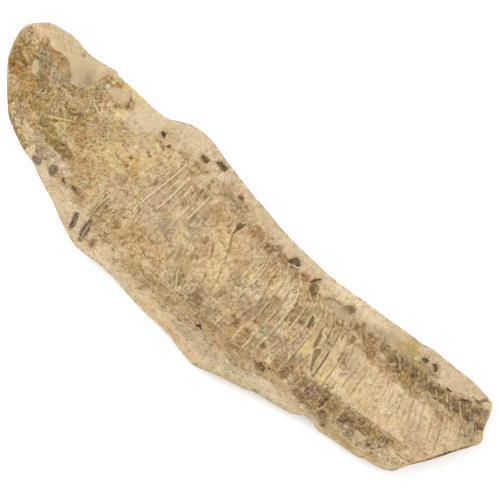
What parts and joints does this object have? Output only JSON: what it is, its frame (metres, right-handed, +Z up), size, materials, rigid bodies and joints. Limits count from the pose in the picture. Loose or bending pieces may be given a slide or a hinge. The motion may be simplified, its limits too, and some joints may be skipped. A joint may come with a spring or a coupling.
{
  "type": "fossil fish in a split limestone nodule",
  "caption": "Half of a split stone nodule with a long-bodied fossil fish lying in its face, snout and tail broken off.",
  "frame": {"origin": "middle of the stone's own box, on the surface it rests on", "axes": "+X from the broken snout end to the broken tail end, +Y from the belly of the fish to its back, +Z up out of the split face"},
  "size_m": [0.4798, 0.141, 0.028],
  "materials": {
    "stone": "matte split limestone, cream to tan, with brown and near-black petrified bone and scales"
  },
  "bodies": {
    "root": {"fossil_fish_slab": "stone"}
  },
  "joints": []
}
